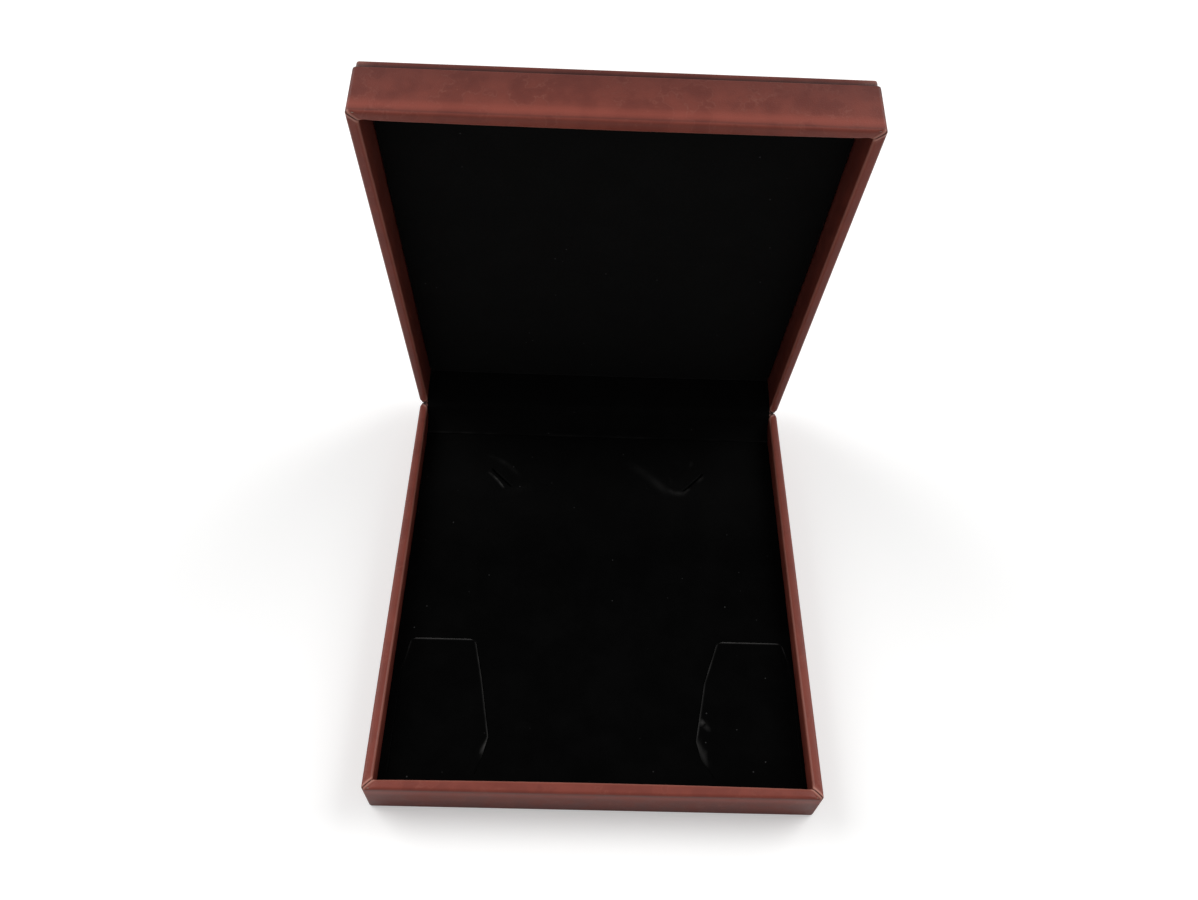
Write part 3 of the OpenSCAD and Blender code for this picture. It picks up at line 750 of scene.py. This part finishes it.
trial = tab_block("trial_tab", 1, 0, pad_top - velvet_t, pad_top)
print("tab outline has", len(trial.data.vertices) // 2, "points")
bpy.data.objects.remove(trial)

# %% [markdown]
# ## The base pad
#
# The pad is one sheet of velvet over card. Its tabs and slits are carved out of a thin block, and the block
# is then sliced into small squares, so that its upper face can be shaped. The velvet has been pushed down
# into the slits, which left a raised lip in front of each and soft creases round it. Each crease is a ridge
# along a line from one point to another, and a hollow where its height is below zero.

# %% Base pad
def ridge(p, a, b, width, height):
    """A swell along the line from a to b, in mm, fading out past its ends."""
    a, b = np.array(a, float), np.array(b, float)
    run = b - a
    share = np.clip(((p[:, :2] - a) @ run) / (run @ run), 0, 1)
    away = np.linalg.norm(p[:, :2] - a - np.outer(share, run), axis=1)
    taper = 0.35 + 0.65 * np.sin(np.pi * share)
    return height * taper * bell(away, width)


creases = [
    # the lip in front of the left slit, thin and high, then the soft swells round it
    ((-54.7, 61.9), (-52.0, 59.4), 0.6, 0.70), ((-52.0, 59.4), (-49.2, 56.3), 0.6, 0.95),
    ((-49.2, 56.3), (-46.8, 53.0), 0.6, 1.00),
    ((-56.1, 72.8), (-50.3, 70.1), 1.3, 0.35), ((-50.3, 70.1), (-45.2, 66.9), 1.5, 0.50),
    ((-45.2, 66.9), (-39.6, 61.0), 1.3, 0.45), ((-52.0, 66.5), (-44.0, 60.5), 2.4, -0.35),
    ((-45.4, 50.3), (-32.7, 54.0), 3.0, 0.32), ((-40.5, 60.5), (-43.5, 55.5), 1.6, -0.55),
    # the right slit's lip turns up at both ends like a smile, and a long soft ridge runs up to it
    ((35.2, 54.5), (37.8, 52.2), 1.5, 0.55), ((37.8, 52.2), (43.0, 52.2), 1.6, 0.64),
    ((43.0, 52.2), (46.0, 55.2), 0.8, 0.62),
    ((16.9, 69.5), (26.5, 61.4), 2.8, 0.45), ((26.5, 61.4), (34.5, 52.8), 2.6, 0.58),
    ((36.5, 62.0), (36.8, 57.5), 1.0, 0.35), ((48.2, 72.0), (46.8, 69.0), 1.0, 0.50),
    ((50.4, 59.6), (53.2, 62.6), 0.9, 0.60), ((40.5, 56.0), (46.5, 62.0), 2.6, -0.50),
]


def nap_relief(p):
    """Height of the velvet's surface over its flat place, in mm."""
    return 0.12 * waves(p, 30, 1) + 0.06 * waves(p, 9, 4) + sum(ridge(p, *crease) for crease in creases)


slit_x, slit_y, slit_half, slit_r = 48, 59.2, 7.5, 0.8
tool_low, tool_high = pad_top - 4, pad_top + 4
pad = block("base_pad_velvet", (-pad_x, pad_front, pad_top - velvet_t), (pad_x, pad_back, pad_top))
for side in (-1, 1):
    carve(pad, tab_block("tab_tool", side, cut_w, tool_low, tool_high))
    slit = block("slit_tool", (-slit_half, -slit_r, tool_low), (slit_half, slit_r, tool_high))
    with editing(slit, "EDGE"):
        pick(slit, lambda p, d: abs(d.z) > ALONG)
        bpy.ops.mesh.bevel(offset=(slit_r - NEAR) * MM, offset_type="OFFSET", segments=5)
    slit.data.transform(Matrix.Translation(Vector((side * slit_x, slit_y, 0)) * MM)
                        @ Matrix.Rotation(side * math.pi / 4, 4, "Z"))
    carve(pad, slit)
with editing(pad):
    slice_up(np.arange(-86, 87, 2.0), np.arange(-94, 86, 2.0))
    # closer together round the slits, where the creases are
    slice_up([*np.arange(-57, -32, 2.0), *np.arange(17, 58, 2.0),
              *np.arange(-56.5, -45, 1.0), *np.arange(34.5, 54, 1.0)],
             [*np.arange(49, 76, 2.0), *np.arange(50.5, 66, 1.0)])
print("pad faces:", len(pad.data.polygons))


def pad_surface(p):
    """Gives the upper face its relief, and rolls the pad's border down."""
    roll_w, roll_h = 1.2, 0.45
    top = p[:, 2] > pad_top - NEAR
    p = p.copy()
    p[:, 2] += np.where(top, nap_relief(p), 0)
    border = np.minimum.reduce([pad_x - np.abs(p[:, 0]), p[:, 1] - pad_front, pad_back - p[:, 1]])
    p[:, 2] -= np.where(top, roll_h * np.clip(1 - border / roll_w, 0, 1) ** 2, 0)
    return p


reshape(pad, pad_surface)
at = points_of(pad)
# painted sheen: a faint lift towards the rear, and highlights on the crease ridges
mark(pad, "ruffled", 0.015 * ease((at[:, 1] - 10) / 50)
     + sum(ridge(at, a, b, 0.75 * w, (h / 1.05) ** 3 * 0.42) for a, b, w, h in creases if h > 0))
coat(soften(pad, 60), velvet)
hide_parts("pad_velvet")
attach(pad, "base")

# %% [markdown]
# ## Velvet on the tabs
#
# The tabs' cut edges are rolled and a little raised. The light that the bent pile catches is painted as a thin
# pale line round the free edges, strongest along the rear one, and as highlights on the small curls. At the
# fold the velvet runs on into the pad.

# %% Tab velvets
curls = {-1: [((-44.9, -76.7), (-46.8, -80.9), 0.8, 0.5)],
         1: [((44.7, -64.5), (48.1, -68.0), 0.8, 0.5), ((43.8, -74.0), (47.0, -84.0), 0.9, 0.25)]}


def from_cut(p, side):
    """Distance in mm from the tab's nearest cut edge, and from its rear edge."""
    away = np.min([(p - np.array(start)) @ np.array(inward) for start, inward in strokes(side)], axis=0)
    return away, fold_y + tab_rear[side] - p[:, 1]


def edge_sheen(p, side):
    """How much painted sheen a tab's bent pile gets along its cut edges and curls: most at the rear one, none
    at the fold.
    """
    away, rear = from_cut(p, side)
    outer = ease((side * p[:, 0] - 66) / 10)
    along = ease((p[:, 1] - fold_y - 5) / 12) * (1 - outer * (1 - bell(rear, 8)))
    strength = 0.22 + 0.42 * bell(rear, 1.2) + 0.16 * waves(p, 5, 8)
    curl_sheen = sum(ridge(p, a, b, w, 0.5 * h) for a, b, w, h in curls[side])
    return bell(away, 0.4) * along * strength + curl_sheen


def tab_surface(p, side):
    """Lifts the tab's cut edges and curls, and lets its relief fade out at the fold."""
    p = p.copy()
    away, rear = from_cut(p, side)
    top = p[:, 2] > pad_top - 0.4               # with the rolled edge
    lift = 0.30 * np.exp(-rear / 5) + 0.18 * np.exp(-away / 1.4) * ease((p[:, 1] - fold_y) / 12)
    lift += sum(ridge(p, *curl) for curl in curls[side])
    p[:, 2] += np.where(top, nap_relief(p) * ease((p[:, 1] - fold_y) / 3) + lift, 0)
    return p


for side, hand in ((-1, "left"), (1, "right")):
    tab = tab_block(hand + "_tab_pile", side, 0, pad_top - velvet_t, pad_top)
    with editing(tab, "EDGE"):
        pick(tab, lambda p, d: abs(d.z) < ACROSS and p.z > pad_top - NEAR and p.y > fold_y + NEAR)
        bpy.ops.mesh.bevel(offset=0.35 * MM, offset_type="OFFSET", segments=3)
    with editing(tab):
        for start, inward in strokes(side):
            for back in (0.5, 0.9, 1.6):
                cut(start + inward * back, inward)
        near_rear = [tab_rear[side] - back for back in (0.7, 1.4, 2.4)]
        slice_up(side * np.arange(44, 87, 2.0), [fold_y + y for y in (*np.arange(2, 58, 2.0), *near_rear)])
    mark(tab, "ruffled", edge_sheen(points_of(tab), side))
    reshape(tab, lambda p: tab_surface(p, side))
    coat(soften(tab, 60), velvet)
    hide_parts(hand + "_tab_velvet")
    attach(tab, hand + "_tab")
    print(tab.name, len(tab.data.polygons), "faces")

# %% [markdown]
# ## The velvet strip over the hinge side
#
# One strip of velvet starts behind the base pad, rises in a hollow curve up the back wall, crosses the hinge
# and runs down the lid's back wall. It is drawn as by hand: an edge of the right width is extruded from point
# to point along that path, cut across, rounded at its folds and given its thickness.

# %% Hinge strip
cove_y, cove_z, cove_r, strip_t, strip_gap = 86.5, 21.7, 8.5, 1.0, 0.3
path = [(86.55, 2.6), (86.55, 11.6), (86.57, 12.1), (86.68, 12.5), (86.9, 12.9), (87.3, cove_z - cove_r)]
path += [(cove_y + cove_r * math.sin(a), cove_z - cove_r * math.cos(a))
         for a in np.radians(np.arange(12, 90, 6))]
path += [(95, 21.7), (94.98, 22.3), (95.15, 22.9), (95.6, 23.6), (96.2, 24.3), (96.8, 24.85), opened(95, 0.3)]
path += [opened(95, over_rim) for over_rim in (1.5, 4, 7, 10, 13, 16, 19, 21.4)]
hinge_strip = block("hinge_strip_velvet", (-cavity_x + strip_gap, path[0][0], path[0][1] - 1),
                    (cavity_x - strip_gap, path[0][0] + strip_t, path[0][1]))
with editing(hinge_strip):
    pick(hinge_strip, lambda p, n: n.y >= -ALONG)
    bpy.ops.mesh.delete(type="FACE")
with editing(hinge_strip, "EDGE"):
    pick(hinge_strip, lambda p, d: abs(d.x) > ALONG and p.z < path[0][1] - 0.5)
    bpy.ops.mesh.dissolve_edges()
with editing(hinge_strip, "EDGE"):
    for (y0, z0), (y1, z1) in zip(path, path[1:]):
        pick_run(hinge_strip, y0, z0)
        onward = (0, (y1 - y0) * MM, (z1 - z0) * MM)
        bpy.ops.mesh.extrude_region_move(TRANSFORM_OT_translate={"value": onward})
with editing(hinge_strip):
    slice_up(np.arange(-86, 87, 2.0))
print("strip length, mm:", round(sum(math.dist(a, b) for a, b in zip(path, path[1:])), 1))


def strip_surface(p):
    """Swells the strip a little, forwards and up alike, except behind the pad."""
    p = p.copy()
    shown = np.clip((p[:, 2] - 12.0) / 1.5, 0, 1)
    swell = 0.16 * waves(p, 22, 3) + 0.09 * waves(p, 8, 6)
    p[:, 1] -= shown * swell * 0.7
    p[:, 2] += shown * swell * 0.7
    return p


reshape(hinge_strip, strip_surface)
with editing(hinge_strip):
    bpy.ops.mesh.normals_make_consistent(inside=False)
    if bmesh.from_edit_mesh(hinge_strip.data).faces[0].normal.y > 0:
        bpy.ops.mesh.flip_normals()
finish_with(hinge_strip, "SOLIDIFY", thickness=strip_t * MM, offset=-1, use_even_offset=True)
at = points_of(hinge_strip)
# painted sheen: a faint lift all over, and a patchy highlight line where the strip meets the pad
mark(hinge_strip, "ruffled", 0.02 + 0.16 * bell(at[:, 2] - 12.5, 0.35) * (at[:, 1] < 90)
     * ease(0.3 + 1.4 * waves(at, 40, 9)) * ease(0.7 + waves(at, 7, 10)))
coat(soften(hinge_strip, 60), velvet)
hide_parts("base_hinge_lining", "hinge_web", "lid_hinge_lining")
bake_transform(hinge_strip)

# %% [markdown]
# ## The lid pad
#
# A card with thin foam on it, covered in velvet pulled tight: almost flat, a little fuller in the middle,
# with a soft rounded edge. A block with a generous bevel, sliced into small squares and swelled by a rule.

# %% Lid pad
lid_pad_low, lid_pad_top, lid_pad_back = 0.5, 6.4, 94.6
lid_pad_middle, lid_pad_half = -0.55, 95.15     # of its depth, from the front to lid_pad_back
lid_pad = block("lid_pad_velvet_skin", (-pad_x, pad_front, lid_pad_low), (pad_x, lid_pad_back, lid_pad_top))
with editing(lid_pad, "EDGE"):
    pick(lid_pad, lambda p, d: abs(d.z) > ALONG)
    bpy.ops.mesh.bevel(offset=0.8 * MM, offset_type="OFFSET", segments=3)
    pick(lid_pad, lambda p, d: abs(d.z) < ACROSS and p.z > lid_pad_top - NEAR)
    bpy.ops.mesh.bevel(offset=2.2 * MM, offset_type="OFFSET", segments=6)
with editing(lid_pad):
    slice_up(np.arange(-84, 85, 3.0), np.arange(-92, 93, 3.0))


def crowned(p):
    """Lets the upper face fall off from its middle, and makes it a little uneven."""
    p = p.copy()
    fall = 0.4 * (p[:, 0] / pad_x) ** 2 + 0.4 * ((p[:, 1] - lid_pad_middle) / lid_pad_half) ** 2
    upper = ease((p[:, 2] - 3) / 2)
    p[:, 2] += upper * (-fall + 0.10 * waves(p, 34, 7) - 0.05)
    return p


reshape(lid_pad, crowned)
at = points_of(lid_pad)
# painted sheen: a faint lift over the whole pad, and a highlight along its rounded edge by the hinge
mark(lid_pad, "ruffled", 0.03 + 0.16 * bell(at[:, 2] - 5.2, 0.8) * (at[:, 1] > 93.2)
     * ease(0.8 + waves(at, 40, 11)))
put_in_lid(lid_pad)
coat(soften(lid_pad, 60), velvet)
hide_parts("lid_pad_velvet", "lid_pad_foam")
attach(lid_pad, "lid")
print("lid pad faces:", len(lid_pad.data.polygons))

# %% [markdown]
# ## The sole
#
# The underside is covered with a sheet of flocked cloth, glued on inside the folded edges of the wraps.

# %% Sole
sole_x, sole_y, sole_t = 83.1, 90.6, 0.5
sole = block("flocked_sole", (-sole_x, -sole_y, 0), (sole_x, sole_y, sole_t))
with editing(sole, "EDGE"):
    pick(sole, lambda p, d: abs(d.z) > ALONG)
    bpy.ops.mesh.bevel(offset=1.5 * MM, offset_type="OFFSET", segments=4)
    pick(sole, lambda p, d: abs(d.z) < ACROSS and p.z < NEAR)
    bpy.ops.mesh.bevel(offset=0.2 * MM, offset_type="OFFSET", segments=2)
coat(soften(sole, 40), sole_cloth)
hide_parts("base_sole")
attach(sole, "base")
print("sole faces:", len(sole.data.polygons))

# %% [markdown]
# ## Table, light and background
#
# The box was photographed on a white table with a white background, in soft light from above. The table is
# plain and pale, and the camera sees it and the world as white, while the table still takes the box's shadow.
# The world lights the box softly, and two large lamps at the left and the right give the light its direction.

# %% Table and light
below_sole = -0.0002            # metres, so that the table and the sole don't share a plane
bpy.ops.mesh.primitive_plane_add(size=6, location=(0, 0, below_sole))
table = bpy.context.object
table.name = table.data.name = "table"
white = Finish("white_table", (0.8, 0.8, 0.8), Roughness=0.9, Emission_Strength=1.0)
cloudy = white.noise(300, 2, 0.5)
white.feed("Base Color", white.mix(cloudy, (0.80, 0.80, 0.795), (0.84, 0.84, 0.835)))
seen = white.add("ShaderNodeLightPath", output="Is Camera Ray")
white.feed("Emission Color", white.mix(seen, (0.0, 0.0, 0.0), (0.3, 0.3, 0.3)))
coat(table, white)

world = bpy.data.worlds.new("soft_daylight")
bpy.context.scene.world = world
world.use_nodes = True
backdrop = world.node_tree.nodes["Background"]
backdrop.inputs["Color"].default_value = (1, 1, 1, 1)
level = world.node_tree.nodes.new("ShaderNodeMapRange")
level.inputs["To Min"].default_value, level.inputs["To Max"].default_value = 0.4, 1.0
ray = world.node_tree.nodes.new("ShaderNodeLightPath")
world.node_tree.links.new(ray.outputs["Is Camera Ray"], level.inputs["Value"])
world.node_tree.links.new(level.outputs["Result"], backdrop.inputs["Strength"])


def lamp(name, place, aim, size, watts):
    """A soft square lamp, with its place, its aim and its size in metres."""
    light = bpy.data.lights.new(name, "AREA")
    light.size, light.energy = size, watts
    holder = bpy.data.objects.new(name, light)
    holder.location = place
    holder.rotation_euler = (Vector(aim) - Vector(place)).to_track_quat("-Z", "Y").to_euler()
    bpy.context.scene.collection.objects.link(holder)


for x in (-1.7, 1.7):
    lamp("softbox", (x, 0.75, 1.8), (0, 0.05, 0.05), 1.6, 33)
